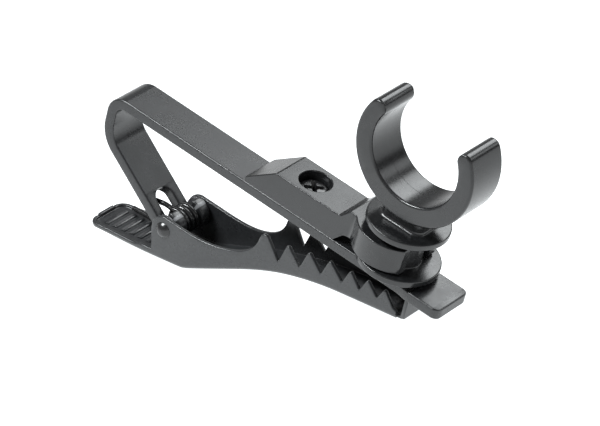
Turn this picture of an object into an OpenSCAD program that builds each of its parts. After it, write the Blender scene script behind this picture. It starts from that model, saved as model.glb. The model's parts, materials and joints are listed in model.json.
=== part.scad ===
// Tie clip for a small clip-on microphone: a sprung alligator clip with a C-shaped, swivelling ring.
//
// Each piece is drawn in the clip's own frame: X runs along the clip arm towards its nose, Y across it,
// and Z up out of the arm's top face, with the swivel axis at X = Y = 0. stand() then sets the whole clip
// down on its two lowest points, the heel and the tip of the lower jaw, with the origin under the middle
// of its outline.

/* [Clip arm] */
// Width of the spring-steel strip
strip_w = 4.8; // [4.4:0.1:4.8]
// Thickness of the strip
strip_t = 1.2; // [1.1:0.05:1.3]
// Width of the flared nose
nose_w = 5.3; // [4.8:0.1:5.6]
// Distance from the swivel axis to the tip of the nose
nose_len = 7.35; // [6.5:0.05:8]
// Distance from the swivel axis to the back of the bend
back_len = 36.25; // [35.5:0.05:37]
// Slope of the rear leg below the arm, in degrees
leg_slope = 35.5; // [34:0.5:37]

/* [Hinge] */
// Distance of the hinge pin behind the swivel axis
pin_back = 25.7; // [25.5:0.1:26]
// Depth of the hinge pin below the arm's top face
pin_drop = 11; // [10.9:0.05:11.2]
// Radius of the rivet's shank
pin_r = 0.52; // [0.45:0.01:0.55]
// Radius of the rivet's domed heads
pin_head_r = 0.9; // [0.8:0.05:1.1]
// Radial running clearance on the rivet and on the swivel's neck
run_gap = 0.03; // [0.02:0.01:0.06]

/* [Lower jaw] */
// Thickness of the jaw's sheet steel
sheet_t = 0.45; // [0.4:0.05:0.5]
// Half width over the ears at the hinge
ear_half_w = 3.2; // [3.1:0.05:3.3]
// Half width along the teeth
tooth_half_w = 2.28; // [2.2:0.02:2.35]
// Number of pointed teeth on each wall
teeth = 6; // [4:1:6]

/* [Spring] */
// Diameter of the spring wire
wire_d = 0.56; // [0.5:0.02:0.56]
// Number of turns in the coil
coil_turns = 2.5; // [2.5:1:2.5]

/* [Bracket] */
// Height of the block's flat top
block_h = 3.2; // [3:0.1:3.4]
// Height of the collar's top face
collar_top = 4.4; // [4.3:0.05:4.5]
// Distance of the fixing screw behind the swivel axis
screw_back = 11.45; // [11:0.05:12]

/* [Microphone holder] */
// Radius of the ring's bore
mic_r = 5.2; // [5:0.1:5.3]
// Height of the bore's centre above the arm
mic_z = 14.5; // [14.4:0.1:15]
// Outer radius of the ring
ring_r = 7.15; // [7:0.05:7.4]
// Width of the ring along the bore
ring_w = 5.04; // [4.6:0.02:5.4]
// Radius of the swivel's neck
neck_r = 2.28; // [2.2:0.02:2.3]

/* [Hidden] */
eps = 0.01;
arc_step = 9;

// Clip arm: where the strip turns down and where it rolls round the rivet
top_bend_r = 2.2;
low_bend_r = 4;
nose_corner_r = 0.8;
flare_start = 2;
flare_run = 1.4;
flare_r = 4;
knuckle_gap = 2.4;
knuckle_end = 96;
window_back = 2.77;
pin = [-pin_back, -pin_drop];
bore_r = pin_r + run_gap;
knuckle_r = bore_r + strip_t;
leg_up = [-cos(leg_slope), sin(leg_slope)];
leg_out = [-sin(leg_slope), -cos(leg_slope)];

// Lower jaw: straight runs of the sheet's outer face, given as a point and a slope
tab_end = -35.3;
tab_slope = 0.21;
tab_point = [-33.6, -16.44];
belly_slope = 0.603;
belly_point = [-22, -13.82];
chin_slope = 0.2;
chin_point = [0.27, -4.72];
lip_x = 3.62;
heel_r = 2;
chin_r = 38;
lip_r = 0.8;
tab_end_r = 0.5;
rim_h = 0.72;
tab_half_w = 2.8;
ear_r = 1.56;
jaw_gap = 0.02;
tooth_first = -11.4;
tooth_pitch = 2.58;
tooth_crowd = 0.42;
tooth_lean = 0.6;
tooth_h = 3.96;
tooth_fall = 0.2;
tooth_tip_r = 0.22;
tooth_root_h = 1.5;
tooth_root_r = 0.08;
head_rise = 0.52;
washer_r = 1.45;
washer_t = 0.3;
rib_h = 0.18;
rib_w = 3.4;
rib_pitch = 1.1;
rib_first = -33.5;
ribs = 8;
notch_y = 1.25;
notch_w = 0.22;
flap_w = 2;
flap_rise = 0.18;

// Spring: the coil sits between the arm's two knuckles
wire_r = wire_d / 2;
coil_r = 1.3;
coil_pitch = 0.7;
coil_half = coil_turns * coil_pitch / 2;
wire_sides = 10;
turn_steps = 16;

// Bracket and holder
block_half_w = 2.4;
collar_shift = -0.96;
collar_r = 4.28;
collar_bottom = 1.44;
block_back = -18.2;
ramp_foot = -6.35;
ramp_head = -5.3;
relief_gap = 0.25;
collar_mouth = 2.12;
throat_half_w = 1.92;
collar_bore_r = neck_r + run_gap;
disc_r = 4.37;
disc_bottom = 0.48;
disc_top = 1.24;
flange_bottom = 5.18;
flange_top = 5.9;
foot_half = 2.5;
foot_top = 8.4;
flare_half = 3;
flare_h = 0.9;
ring_drop = 0.28;
tip_rise = 27.8;
screw_r = 0.98;
screw_head_r = 1.62;
screw_hole_r = 1.1;
cross_w = 2.3;
slot_w = 0.46;
cross_turn = 46;
recess_r = 1.72;
head_bottom = 1.14;
head_top = 2.42;

// ---- Geometry helpers ---------------------------------------------------------------------------

function unit(v) = v / norm(v);
function turn_left(v) = [-v[1], v[0]];
function meet(p, slope_p, q, slope_q) =
    let (x = (q[1] - p[1] + slope_p * p[0] - slope_q * q[0]) / (slope_p - slope_q))
    [x, p[1] + slope_p * (x - p[0])];
function on_line(p, slope, x) = [x, p[1] + slope * (x - p[0])];
function polar(c, r, a) = [c[0] + r * cos(a), c[1] + r * sin(a)];
function arc(c, r, a0, a1) =
    let (n = max(2, ceil(abs(a1 - a0) / arc_step)))
    [for (i = [0:n]) polar(c, r, a0 + (a1 - a0) * i / n)];

// Rounds corner b, between a and c, to radius r
function fillet(a, b, c, r) =
    let (
        u = unit(a - b), v = unit(c - b),
        half = acos(min(1, max(-1, u * v))) / 2,
        m = b + unit(u + v) * r / sin(half),
        p = b + u * r / tan(half) - m,
        q = b + v * r / tan(half) - m,
        a0 = atan2(p[1], p[0]),
        swing = atan2(p[0] * q[1] - p[1] * q[0], p * q)
    )
    arc(m, r, a0, a0 + swing);

// Turns a list of [x, z] or [x, z, radius] corners into an outline's points
function rounded(path) =
    let (n = len(path))
    [for (i = [0:n - 1])
        each (len(path[i]) > 2 && i > 0 && i < n - 1
            ? fillet(xy(path[i - 1]), xy(path[i]), xy(path[i + 1]), path[i][2])
            : [xy(path[i])])];
function xy(p) = [p[0], p[1]];

// Moves every point of a path to its left by d, to give the other face of a bent sheet
function beside(pts, d) =
    let (n = len(pts))
    [for (i = [0:n - 1])
        let (
            back = i > 0 ? unit(pts[i] - pts[i - 1]) : unit(pts[1] - pts[0]),
            ahead = i < n - 1 ? unit(pts[i + 1] - pts[i]) : back,
            s = unit(back + ahead)
        )
        pts[i] + turn_left(s) * d / max(0.3, turn_left(s) * turn_left(back))];
function reversed(v) = [for (i = [len(v) - 1:-1:0]) v[i]];
function band(pts, d) = concat(pts, reversed(beside(pts, d)));
function bezier(a, b, c, d, n) =
    [for (i = [0:n])
        let (t = i / n, s = 1 - t)
        s * s * s * a + 3 * s * s * t * b + 3 * s * t * t * c + t * t * t * d];

// Extrudes an outline drawn in X and Z across the clip, about its middle plane
module across(w) rotate([90, 0, 0]) linear_extrude(w, center = true) children();
// A round bar across the clip at a point in X and Z
module bar_across(p, r, w)
    translate([p[0], 0, p[1]]) rotate([90, 0, 0]) cylinder(h = w, r = r, center = true, $fn = 48);

// ---- The resting pose ---------------------------------------------------------------------------

heel_corner = meet(tab_point, tab_slope, belly_point, belly_slope);
chin_corner = meet(belly_point, belly_slope, chin_point, chin_slope);
lip_corner = on_line(chin_point, chin_slope, lip_x);
function inside_corner(corner, slope_a, slope_b, r) =
    let (
        u = unit([-1, -slope_a]), v = unit([1, slope_b]),
        half = acos(u * v) / 2
    )
    corner + unit(u + v) * r / sin(half);
heel_c = inside_corner(heel_corner, tab_slope, belly_slope, heel_r);
lip_c = on_line(chin_point, chin_slope, lip_x - lip_r) + [0, lip_r * norm([1, chin_slope])];
span = lip_c - heel_c;
rest_tilt = atan2(span[1], span[0]) + asin((heel_r - lip_r) / norm(span));
function tilted(p) =
    [p[0] * cos(rest_tilt) + p[1] * sin(rest_tilt), p[1] * cos(rest_tilt) - p[0] * sin(rest_tilt)];
floor_z = tilted(heel_c)[1] - heel_r;
tab_end_c = on_line(tab_point, tab_slope, tab_end + tab_end_r) + [0, tab_end_r * norm([1, tab_slope])];
rear_x = tilted(tab_end_c)[0] - tab_end_r;
front_x = tilted([0, mic_z - ring_drop])[0] + ring_r;
module stand() translate([-(rear_x + front_x) / 2, 0, -floor_z]) rotate([0, rest_tilt, 0]) children();

// ---- Clip arm: one strip of spring steel, bent back on itself and rolled round the rivet --------

function leg_z(x) = pin[1] + (knuckle_r - (x - pin[0]) * leg_out[0]) / leg_out[1];

module arm_outline() {
    outer = rounded([
        [nose_len, 0],
        [-back_len, 0, top_bend_r],
        [-back_len, leg_z(-back_len), low_bend_r],
        pin + leg_out * knuckle_r,
    ]);
    polygon(band(outer, strip_t));
}

module knuckle_outline() {
    difference() {
        translate(pin) circle(r = knuckle_r, $fn = 72);
        translate(pin) circle(r = bore_r, $fn = 48);
        // The strip's end stops short of the leg, which leaves the roll open at the back
        polygon(concat([pin], arc(pin, 2 * knuckle_r, knuckle_end, 270 - leg_slope)));
    }
}

module arm_plan() {
    half = strip_w / 2;
    side = [
        [-2 * back_len, half],
        [flare_start, half, flare_r],
        [flare_start + flare_run, nose_w / 2, flare_r],
        [nose_len, nose_w / 2, nose_corner_r],
        [nose_len, 0],
    ];
    pts = rounded(side);
    polygon(concat(pts, [for (p = reversed(pts)) [p[0], -p[1]]]));
}

// The round-topped window lets the spring's end reach the back of the leg
module leg_window() {
    top = pin + leg_up * window_back;
    translate([top[0], 0, top[1]]) rotate([0, leg_slope, 0]) translate([0, 0, -knuckle_r]) {
        linear_extrude(4 * knuckle_r, center = true) {
            rotate(90) circle(d = knuckle_gap, $fn = 48);
            translate([0, -knuckle_gap / 2]) square([window_back + 2 * knuckle_r, knuckle_gap]);
        }
    }
}

module clip_arm() {
    color("#2b2c2e") stand() difference() {
        intersection() {
            across(2 * nose_w) {
                arm_outline();
                knuckle_outline();
            }
            linear_extrude(8 * pin_drop, center = true) arm_plan();
        }
        leg_window();
        translate([-screw_back, 0, -2 * strip_t]) cylinder(h = 3 * strip_t, r = screw_r + 0.02, $fn = 36);
    }
}

// ---- Lower jaw: one piece of sheet steel, with a thumb tab, two ears, two toothed walls and a front lip

function rim_z(x) = on_line(tab_point, tab_slope, x)[1] + rim_h;
chin_c = chin_corner + unit(unit([-1, -belly_slope]) + unit([1, chin_slope]))
    * chin_r / sin(acos(unit([-1, -belly_slope]) * unit([1, chin_slope])) / 2);
function chin_z(x) =
    x > chin_corner[0] + 6.6 ? on_line(chin_point, chin_slope, x)[1]
    : chin_c[1] + sqrt(chin_r * chin_r - (x - chin_c[0]) * (x - chin_c[0]));
outer_face = rounded([
    [tab_end, rim_z(tab_end)],
    [tab_end, on_line(tab_point, tab_slope, tab_end)[1], tab_end_r],
    [heel_corner[0], heel_corner[1], heel_r],
    [chin_corner[0], chin_corner[1], chin_r],
    [lip_x, lip_corner[1], lip_r],
    [lip_x, -strip_t - jaw_gap],
]);

// Teeth lean back towards the hinge and get closer and shorter towards the lip
function tooth_x(i) = tooth_first + tooth_pitch * i - tooth_crowd * max(0, i - 3);
function tooth_tip(i) = [tooth_x(i), chin_z(tooth_x(i)) + tooth_h - tooth_fall * i, tooth_tip_r];
function tooth_root(i) = let (x = tooth_x(i) - tooth_lean) [x, chin_z(x) + tooth_root_h, tooth_root_r];
wall_top = rounded(concat(
    [
        [tab_end, rim_z(tab_end)],
        [-26.5, rim_z(-26.5), 0.3],
        [-27.2, pin[1] - 0.4, 0.5],
    ],
    arc(pin, ear_r, 170, 95),
    bezier([-22.6, -9.42], [-18, -9.3], [-14.75, -7.7], [-14.65, -4.95], 12),
    [
        [-14.4, -4.42, 0.3],
        [-13.9, -4.35, 0.3],
    ],
    [for (i = [0:teeth - 1]) each [tooth_root(i), tooth_tip(i)]],
    [[2.6, chin_z(2.6) + sheet_t + 0.02]]
));

function jaw_half(d) = rounded([
    [tab_end + d, 0],
    [tab_end + d, tab_half_w - d, 1.3],
    [-27.8, ear_half_w - d, 14],
    [-21.8, ear_half_w - d, 14],
    [-12.4, tooth_half_w + 0.02 - d, 14],
    [lip_x - d, tooth_half_w - d],
]);
module jaw_plan(d) {
    pts = jaw_half(d);
    polygon(concat(pts, [for (p = reversed(pts)) [p[0], -p[1]]]));
}

inner_face = beside(outer_face, sheet_t);
wall_end = wall_top[len(wall_top) - 1][0];
jaw_side = concat(
    wall_top,
    [for (p = inner_face) if (p[0] > wall_end) p],
    [for (i = [len(outer_face) - 1:-1:1]) outer_face[i]]
);
jaw_hollow = concat(
    [
        [wall_end, collar_top],
        [tab_end - 1, collar_top],
        [tab_end - 1, on_line(tab_point, tab_slope, tab_end - 1)[1] + sheet_t * norm([1, tab_slope])],
    ],
    [for (p = inner_face) if (p[0] > tab_end + 1 && p[0] < wall_end) p]
);

module jaw_tray() {
    difference() {
        intersection() {
            across(4 * ear_half_w) polygon(jaw_side);
            linear_extrude(8 * pin_drop, center = true) jaw_plan(0);
        }
        intersection() {
            across(4 * ear_half_w) polygon(jaw_hollow);
            linear_extrude(8 * pin_drop, center = true) jaw_plan(sheet_t);
        }
    }
}

module thumb_ribs() {
    for (i = [0:ribs - 1]) {
        x = rib_first + i * rib_pitch;
        z = on_line(tab_point, tab_slope, x)[1] + sheet_t * norm([1, tab_slope]);
        translate([x, 0, z]) rotate([0, -atan(tab_slope), 0])
            across(rib_w) polygon([[-0.7, -0.1], [0, rib_h], [0.12, -0.1]]);
    }
}

// The end flap stands a little above the side rims, between two relief notches
module end_flap() {
    translate([tab_end, -flap_w / 2, rim_z(tab_end) - 0.2]) cube([sheet_t, flap_w, 0.2 + flap_rise]);
}

module lower_jaw() {
    color("#303133") stand() difference() {
        union() {
            jaw_tray();
            thumb_ribs();
            end_flap();
        }
        bar_across(pin, pin_r + eps, 4 * ear_half_w);
        for (s = [-1, 1]) translate([tab_end, s * notch_y, rim_z(tab_end)])
            cube([2.4 * sheet_t, notch_w, 0.5], center = true);
    }
}

// ---- Hinge rivet --------------------------------------------------------------------------------

module rivet_head() {
    dome_r = (pin_head_r * pin_head_r + head_rise * head_rise) / (2 * head_rise);
    rotate_extrude($fn = 48) intersection() {
        translate([0, head_rise - dome_r]) circle(r = dome_r, $fn = 96);
        square([pin_head_r, head_rise]);
    }
}

module hinge_rivet() {
    color("#1c1d1f") stand() translate([pin[0], 0, pin[1]]) rotate([90, 0, 0]) {
        cylinder(h = 2 * ear_half_w, r = pin_r, center = true, $fn = 48);
        for (s = [0, 180]) rotate([s, 0, 0]) translate([0, 0, ear_half_w]) rivet_head();
    }
}

// Thin washers fill the gap between each ear and the knuckle beside it
module hinge_washer(side) {
    gap_in = strip_w / 2;
    gap_out = ear_half_w - sheet_t;
    color("#3a3b3d") stand() translate([pin[0], side * (gap_in + gap_out) / 2, pin[1]]) rotate([90, 0, 0])
        difference() {
            cylinder(h = washer_t, r = washer_r, center = true, $fn = 72);
            cylinder(h = 2 * washer_t, r = bore_r, center = true, $fn = 48);
        }
}
module near_washer() hinge_washer(-1);
module far_washer() hinge_washer(1);

// ---- Torsion spring: a coil round the rivet, one end through the arm's window, the other on the thumb tab

function lift(p, y) = [p[0], y, p[1]];
arm_dir = 180 + 49 - leg_slope;
tab_dir = 208;
coil_y0 = -coil_half;
coil_a0 = arm_dir - 90;
coil_a1 = tab_dir + 90;
function arm_wire(d) = polar(pin, coil_r, coil_a0) + d * [cos(arm_dir), sin(arm_dir)];
function tab_wire(d) = polar(pin, coil_r, coil_a1) + d * [cos(tab_dir), sin(tab_dir)];
coil_sweep = 360 * floor(coil_turns) + (360 + coil_a0 - (coil_a1 - 360)) % 360;
coil_pts = [for (i = [0:coil_turns * turn_steps])
    let (t = i / (coil_turns * turn_steps))
    lift(polar(pin, coil_r, coil_a0 - t * coil_sweep), coil_y0 + t * 2 * coil_half)];
hook_d = 3.9;
hook_reach = 1.7;
window_y = -0.5;
tab_rest = on_line(tab_point, tab_slope, -30.2)
    + [0, (sheet_t + rib_h + wire_r + 0.02) * norm([1, tab_slope])];
tab_tip = tab_rest + 3 * unit([-1, -tab_slope]);
spring_path = concat(
    [
        lift(arm_wire(hook_d), -hook_reach),
        lift(arm_wire(hook_d), window_y - 0.4),
        lift(arm_wire(hook_d - 0.1), window_y - 0.1),
        lift(arm_wire(hook_d - 0.5), window_y),
        lift(arm_wire(1.8), window_y),
        lift(arm_wire(0.6), coil_y0),
    ],
    coil_pts,
    [
        lift(tab_wire(2.2), coil_half),
        lift(tab_wire(norm(tab_rest - tab_wire(0)) - 0.5), 1.5),
        lift(tab_rest - 0.3 * unit([1, tab_slope]), 1.66),
        lift(tab_tip, 2.05),
    ]
);

// Sweeps a round wire along a path, keeping each ring square to it
function along(path, i) =
    unit(i == 0 ? path[1] - path[0]
        : i == len(path) - 1 ? path[i] - path[i - 1]
        : unit(path[i] - path[i - 1]) + unit(path[i + 1] - path[i]));
function carried(path, i, n) =
    let (t = along(path, i), m = unit(n - (n * t) * t))
    i == len(path) - 1 ? [m] : concat([m], carried(path, i + 1, m));
module wire(path, r, sides) {
    first = cross(along(path, 0), [0.31, 0.17, 0.93]);
    side = carried(path, 0, first);
    n = len(path);
    pts = [for (i = [0:n - 1]) let (t = along(path, i), u = side[i], v = cross(t, u))
        for (k = [0:sides - 1]) path[i] + r * (cos(360 * k / sides) * u + sin(360 * k / sides) * v)];
    ends = [[for (k = [0:sides - 1]) k], [for (k = [sides - 1:-1:0]) (n - 1) * sides + k]];
    skin = [for (i = [0:n - 2], k = [0:sides - 1]) let (j = (k + 1) % sides)
        each [[i * sides + k, (i + 1) * sides + k, i * sides + j],
            [i * sides + j, (i + 1) * sides + k, (i + 1) * sides + j]]];
    polyhedron(pts, concat(ends, skin));
}

module torsion_spring() {
    color("#17181a") stand() wire(spring_path, wire_r, wire_sides);
}

// ---- Swivel bracket: a moulded block screwed to the arm, with a snap collar round the holder's neck

module bracket_plan() {
    fillet_r = 1;
    reach = sqrt((collar_r + fillet_r) ^ 2 - (block_half_w + fillet_r) ^ 2);
    root = [collar_shift - reach, block_half_w + fillet_r];
    lean = atan2(root[1], reach);
    half = concat(
        [[block_back, block_half_w]],
        arc(root, fillet_r, 270, 360 - lean),
        arc([collar_shift, 0], collar_r, 180 - lean - arc_step, acos((collar_mouth - collar_shift) / collar_r))
    );
    polygon(concat(half, [for (p = reversed(half)) [p[0], -p[1]]]));
}

module bracket_side() {
    polygon(rounded([
        [block_back, 0],
        [block_back, 0.6],
        [-14.7, block_h],
        [ramp_foot, block_h, 0.5],
        [ramp_head, collar_top, 0.1],
        [collar_mouth, collar_top],
        [collar_mouth, collar_bottom],
        [-disc_r, collar_bottom],
        [-5.45, 1.25, 0.8],
        [-6.5, 0],
    ]));
}

module swivel_bracket() {
    color("#26272a") stand() difference() {
        intersection() {
            linear_extrude(3 * collar_top, center = true) bracket_plan();
            across(4 * collar_r) bracket_side();
        }
        cylinder(h = 3 * collar_top, r = collar_bore_r, center = true, $fn = 72);
        // The mouth lets the neck snap in from the front
        translate([0, -throat_half_w, 0]) cube([2 * collar_r, 2 * throat_half_w, 2 * collar_top]);
        // Round relief under the block, for the holder's lower disc
        cylinder(h = 2 * collar_bottom, r = disc_r + relief_gap, center = true, $fn = 72);
        translate([-screw_back, 0, head_bottom]) cylinder(h = block_h, r = recess_r, $fn = 48);
        translate([-screw_back, 0, -eps]) cylinder(h = block_h, r = screw_hole_r, $fn = 36);
    }
}

// ---- Fixing screw -------------------------------------------------------------------------------

module fixing_screw() {
    color("#1f2022") stand() translate([-screw_back, 0, 0]) difference() {
        union() {
            translate([0, 0, -strip_t + 0.05]) cylinder(h = head_bottom + strip_t, r = screw_r, $fn = 36);
            translate([0, 0, head_bottom]) cylinder(h = head_top - head_bottom, r = screw_head_r, $fn = 48);
        }
        for (a = [cross_turn, cross_turn + 90]) rotate(a) translate([0, 0, head_top])
            cube([cross_w, slot_w, 1.3], center = true);
    }
}

// ---- Microphone holder: one moulding, a C-shaped ring on a spool that turns in the bracket's collar

module ring_outline() {
    outer_z = mic_z - ring_drop;
    tip_r = (ring_r - ring_drop * sin(tip_rise) - mic_r) / 2;
    tip_mid = mic_r + tip_r;
    difference() {
        translate([0, outer_z]) circle(r = ring_r, $fn = 96);
        translate([0, mic_z]) circle(r = mic_r, $fn = 96);
        polygon(concat([[0, mic_z]], arc([0, mic_z], 2 * ring_r, tip_rise, 180 - tip_rise)));
    }
    for (s = [-1, 1]) translate([s * tip_mid * cos(tip_rise), mic_z + tip_mid * sin(tip_rise)])
        circle(r = tip_r, $fn = 48);
}

module mic_holder() {
    color("#26272a") stand() difference() {
        union() {
            across(ring_w) ring_outline();
            // Spool: lower disc, neck and upper flange, with a flared square foot under the ring
            translate([0, 0, disc_bottom]) cylinder(h = disc_top - disc_bottom, r = disc_r, $fn = 96);
            translate([0, 0, disc_bottom]) cylinder(h = flange_top - disc_bottom, r = neck_r, $fn = 72);
            translate([0, 0, flange_bottom]) cylinder(h = flange_top - flange_bottom, r = disc_r, $fn = 96);
            translate([-foot_half, -ring_w / 2, flange_bottom])
                cube([2 * foot_half, ring_w, foot_top - flange_bottom]);
            translate([0, 0, flange_top - eps]) rotate(45)
                cylinder(h = flare_h, r1 = flare_half * sqrt(2), r2 = foot_half * sqrt(2), $fn = 4);
        }
        bar_across([0, mic_z], mic_r, 3 * ring_w);
    }
}

clip_arm();
lower_jaw();
hinge_rivet();
near_washer();
far_washer();
torsion_spring();
swivel_bracket();
fixing_screw();
mic_holder();
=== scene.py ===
"""Looks for the microphone tie clip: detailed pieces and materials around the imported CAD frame."""

import json
import math
import bmesh
import bpy
from mathutils import Matrix, Quaternion, Vector


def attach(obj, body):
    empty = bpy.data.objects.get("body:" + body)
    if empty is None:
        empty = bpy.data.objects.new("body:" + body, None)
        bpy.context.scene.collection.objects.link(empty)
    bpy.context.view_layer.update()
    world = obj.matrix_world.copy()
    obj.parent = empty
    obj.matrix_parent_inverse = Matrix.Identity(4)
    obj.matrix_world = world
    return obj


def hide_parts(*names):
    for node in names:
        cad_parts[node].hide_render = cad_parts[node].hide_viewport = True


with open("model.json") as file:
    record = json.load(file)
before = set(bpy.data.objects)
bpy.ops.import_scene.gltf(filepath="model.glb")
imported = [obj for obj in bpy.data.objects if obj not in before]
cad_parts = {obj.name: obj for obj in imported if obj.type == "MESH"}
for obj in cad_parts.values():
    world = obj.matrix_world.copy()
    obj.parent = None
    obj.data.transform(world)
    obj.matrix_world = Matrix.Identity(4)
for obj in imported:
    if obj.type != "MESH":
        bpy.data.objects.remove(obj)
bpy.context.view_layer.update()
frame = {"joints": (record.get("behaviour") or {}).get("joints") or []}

# ---- The clip's own frame: X along the arm to its nose, Y across, Z up out of the arm, in millimetres ----

joints = {joint["name"]: joint for joint in frame["joints"]}
UP = Vector(joints["holder_swivel"]["axis"]).normalized()
ACROSS = Vector((0, 1, 0))
ALONG = ACROSS.cross(UP)
AXES = Matrix((ALONG, ACROSS, UP)).transposed()
ORIGIN = Vector(joints["holder_swivel"]["pos_m"])
CLIP = Matrix.Translation(ORIGIN) @ AXES.to_4x4() @ Matrix.Scale(0.001, 4)
pin_place = CLIP.inverted() @ Vector(joints["jaw_hinge"]["pos_m"])
PIN = (pin_place.x, pin_place.z)

# ---- Curves in a plane. Angles are in degrees ----


def cosd(angle):
    return math.cos(math.radians(angle))


def sind(angle):
    return math.sin(math.radians(angle))


def smooth(share):
    """A soft step from 0 to 1."""
    share = min(1.0, max(0.0, share))
    return share * share * (3 - 2 * share)


def onward(point, angle, distance):
    """The point at a distance from another, in a direction."""
    return (point[0] + distance * cosd(angle), point[1] + distance * sind(angle))


def between(knots, x):
    """The height at x of the line through knots."""
    for a, b in zip(knots, knots[1:]):
        if a[0] <= x <= b[0]:
            return a[1] + (b[1] - a[1]) * (x - a[0]) / (b[0] - a[0])
    return knots[-1][1]


def arc(centre, radius, first, last, step=4.0):
    count = max(2, math.ceil(abs(last - first) / step))
    return [onward(centre, first + (last - first) * i / count, radius) for i in range(count + 1)]


def fillet(before, corner, after, radius, step=8.0):
    """The arc that rounds the corner between two straight runs."""
    before, corner, after = Vector(before), Vector(corner), Vector(after)
    u, v = (before - corner).normalized(), (after - corner).normalized()
    half = math.acos(max(-1, min(1, u.dot(v)))) / 2
    centre = corner + (u + v).normalized() * radius / math.sin(half)
    first = corner + u * radius / math.tan(half) - centre
    last = corner + v * radius / math.tan(half) - centre
    start = math.degrees(math.atan2(first.y, first.x))
    swing = math.degrees(math.atan2(first.x * last.y - first.y * last.x, first.dot(last)))
    return arc(centre, radius, start, start + swing, step)


def rounded(path, step=8.0):
    """A path whose corners are rounded where a point gives a radius as its third value."""
    out = []
    for i, point in enumerate(path):
        if len(point) > 2:
            out += fillet(path[i - 1][:2], point[:2], path[i + 1][:2], point[2], step)
        else:
            out.append(tuple(point))
    return out


def bezier(a, b, c, d, count):
    out = []
    for i in range(count + 1):
        t = i / count
        s = 1 - t
        shares = (s**3, 3 * s * s * t, 3 * s * t * t, t**3)
        out.append(tuple(sum(share * p[k] for share, p in zip(shares, (a, b, c, d))) for k in (0, 1)))
    return out


def drawn_in(outline, distance):
    """A closed outline moved to its left."""
    out = []
    for i, point in enumerate(outline):
        here, before, after = Vector(point), Vector(outline[i - 1]), Vector(outline[(i + 1) % len(outline)])
        u, v = (here - before).normalized(), (after - here).normalized()
        middle = (u + v).normalized()
        left = Vector((-middle.y, middle.x))
        out.append(tuple(here + left * distance / max(0.35, left.dot(Vector((-u.y, u.x))))))
    return out


# ---- Shells and meshes ----


class Shell:
    """Collects closed shells in the clip's frame."""

    def __init__(self):
        self.verts = []
        self.faces = []

    def add(self, points):
        first = len(self.verts)
        self.verts += [tuple(point) for point in points]
        return list(range(first, len(self.verts)))

    def bridge(self, a, b, closed=True):
        for k in range(len(a) if closed else len(a) - 1):
            j = (k + 1) % len(a)
            self.faces.append((a[k], a[j], b[j], b[k]))

    def loft(self, rings, closed=True):
        """A skin over rings, capped at both ends. With closed off the rings are open lines without caps."""
        ids = [self.add(ring) for ring in rings]
        for a, b in zip(ids, ids[1:]):
            self.bridge(a, b, closed)
        if closed:
            self.faces.append(tuple(reversed(ids[0])))
            self.faces.append(tuple(ids[-1]))
        return ids

    def hoop(self, rings):
        """A skin over rings whose last one meets the first."""
        ids = [self.add(ring) for ring in rings]
        for a, b in zip(ids, ids[1:] + ids[:1]):
            self.bridge(a, b)

    def plate(self, outline, y0, y1, radius, steps=3):
        """An outline in X and Z made into a plate across the clip, its edges rounded."""
        area = sum(a[0] * b[1] - b[0] * a[1] for a, b in zip(outline, outline[1:] + outline[:1]))
        outline = outline if area > 0 else outline[::-1]
        turns = [math.pi / 2 * k / steps for k in range(steps + 1)]
        edge = [(radius * (1 - math.sin(turn)), radius * (1 - math.cos(turn))) for turn in turns]
        levels = [(y0 + rise, inset) for rise, inset in reversed(edge)]
        levels += [(y1 - rise, inset) for rise, inset in edge]
        self.loft([[(x, y, z) for x, z in drawn_in(outline, inset)] for y, inset in levels])

    def wire(self, path, radius, sides=22, dome=0.35):
        """A round wire along a path, its ends slightly domed."""
        points = [Vector(point) for point in path]
        last = len(points) - 1
        ahead = [(points[min(i + 1, last)] - points[max(i - 1, 0)]).normalized() for i in range(last + 1)]
        side = ahead[0].orthogonal().normalized()
        turns = [math.tau * k / sides for k in range(sides)]
        rings = []
        for i, point in enumerate(points):
            side = (side - ahead[i] * side.dot(ahead[i])).normalized()
            up = ahead[i].cross(side)
            stops = [(0.0, radius)]
            if i == 0:
                stops = [(-dome * radius * cosd(a), radius * sind(a)) for a in (20, 50, 75)] + stops
            if i == last:
                stops += [(dome * radius * cosd(a), radius * sind(a)) for a in (75, 50, 20)]
            for shift, size in stops:
                centre = point + ahead[i] * shift
                spokes = [math.cos(turn) * side + math.sin(turn) * up for turn in turns]
                rings.append([centre + size * spoke for spoke in spokes])
        self.loft(rings)


def circle(x, y, radius, sides):
    turns = [math.tau * k / sides for k in range(sides)]
    return [(x + radius * math.cos(turn), y + radius * math.sin(turn)) for turn in turns]


def turned_z(profile, x, y, sides):
    """Rings of a profile of radius and height about an upright axis."""
    return [[(px, py, height) for px, py in circle(x, y, radius, sides)] for radius, height in profile]


def turned_y(profile, sides):
    """Rings of a profile of radius and place across, about the pin."""
    return [[(px, across, pz) for px, pz in circle(*PIN, radius, sides)] for radius, across in profile]


def mesh_of(name, shell, place=Matrix()):
    """A shell as a mesh whose faces look outwards."""
    mesh = bpy.data.meshes.new(name)
    mesh.from_pydata([place @ Vector(vert) for vert in shell.verts], [], shell.faces)
    work = bmesh.new()
    work.from_mesh(mesh)
    bmesh.ops.recalc_face_normals(work, faces=work.faces)
    work.to_mesh(mesh)
    work.free()
    return mesh


def add_object(name, data):
    obj = bpy.data.objects.new(name, data)
    bpy.context.scene.collection.objects.link(obj)
    return obj


def evaluated_mesh(obj):
    graph = bpy.context.evaluated_depsgraph_get()
    return bpy.data.meshes.new_from_object(obj.evaluated_get(graph))


def solid(shell):
    """A plain object in millimetres, for cutting, not shown."""
    return add_object("work", mesh_of("work", shell))


def prism(outline, low, high):
    """A solid of an outline in X and Y, from one height to another."""
    shell = Shell()
    shell.loft([[(x, y, z) for x, y in outline] for z in (low, high)])
    return solid(shell)


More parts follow.
